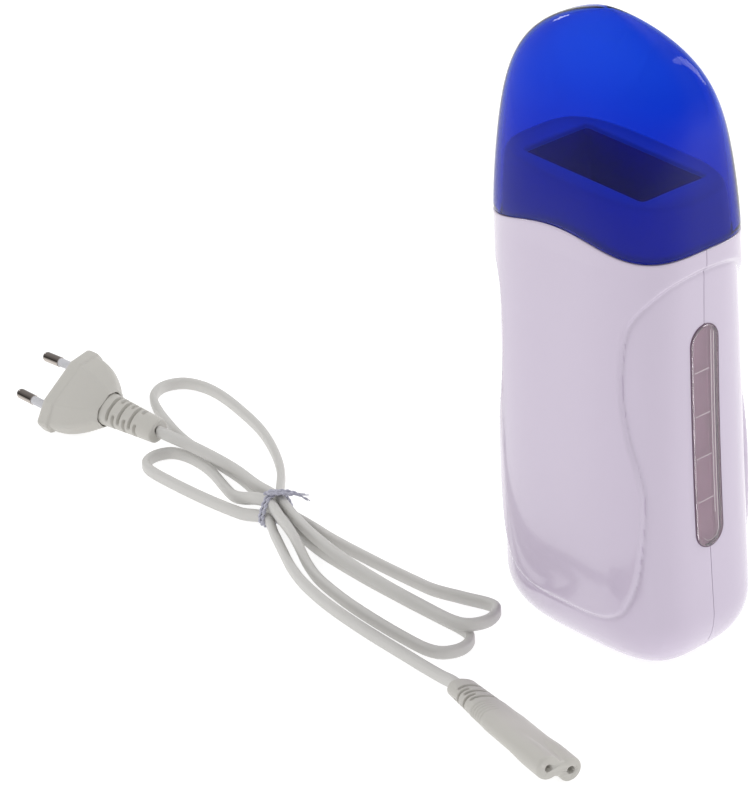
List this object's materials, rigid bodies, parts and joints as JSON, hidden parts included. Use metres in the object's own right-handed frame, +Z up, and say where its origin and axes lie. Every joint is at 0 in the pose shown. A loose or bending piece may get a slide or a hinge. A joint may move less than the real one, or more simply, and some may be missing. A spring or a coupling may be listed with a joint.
{
  "type": "roll-on wax heater",
  "caption": "Upright roll-on wax heater with a translucent lift-off cap, a level window in one side and a detachable, folded mains cord.",
  "frame": {"origin": "bottom centre of the heater, on the surface it stands on", "axes": "+Z up, -Y towards the heater's front, +X towards its level window"},
  "size_m": [0.3425, 0.1226, 0.215],
  "materials": {
    "shell": "glossy white with a faint lilac tint",
    "cap": "translucent cobalt blue, glossy",
    "neck": "smooth",
    "liner": "satin mauve-brown",
    "lens": "clear",
    "aluminium": "plain",
    "ceramic": "ceramic",
    "film": "amber insulating film",
    "steel": "plain",
    "black": "matte",
    "nickel": "nickel-plated",
    "brown_wire": "brown insulation",
    "blue_wire": "blue insulation",
    "plug": "warm grey-white",
    "sleeve": "white",
    "cord": "light grey, soft",
    "tie": "twisted string, pale lilac-white",
    "brass": "plain"
  },
  "bodies": {
    "heater": {"front_shell": "shell", "rear_shell": "shell", "neck_collar": "neck", "cartridge_liner": "liner", "window_lens": "lens", "heater_plate": "aluminium", "ptc_element": "ceramic", "insulator_sheet": "film", "ptc_clip": "steel", "clip_screws": "steel", "thermal_fuse": "ceramic", "fuse_link": "nickel", "inlet_body": "black", "inlet_pins": "nickel", "live_wire": "brown_wire", "neutral_wire": "blue_wire", "case_screws": "steel", "plug_body": "plug", "plug_pins": "nickel", "pin_sleeves": "sleeve", "plug_relief": "plug", "plug_lead": "cord", "cord_hank": "cord", "cord_tie": "tie", "connector_lead": "cord", "connector_body": "plug", "connector_relief": "plug", "connector_contacts": "brass"},
    "cap": {"cap": "cap"}
  },
  "joints": [
    {"name": "cap_lift", "type": "slide", "parent": "heater", "child": "cap", "axis": [0, 0, 1], "range_m": [0, 0.08]}
  ]
}
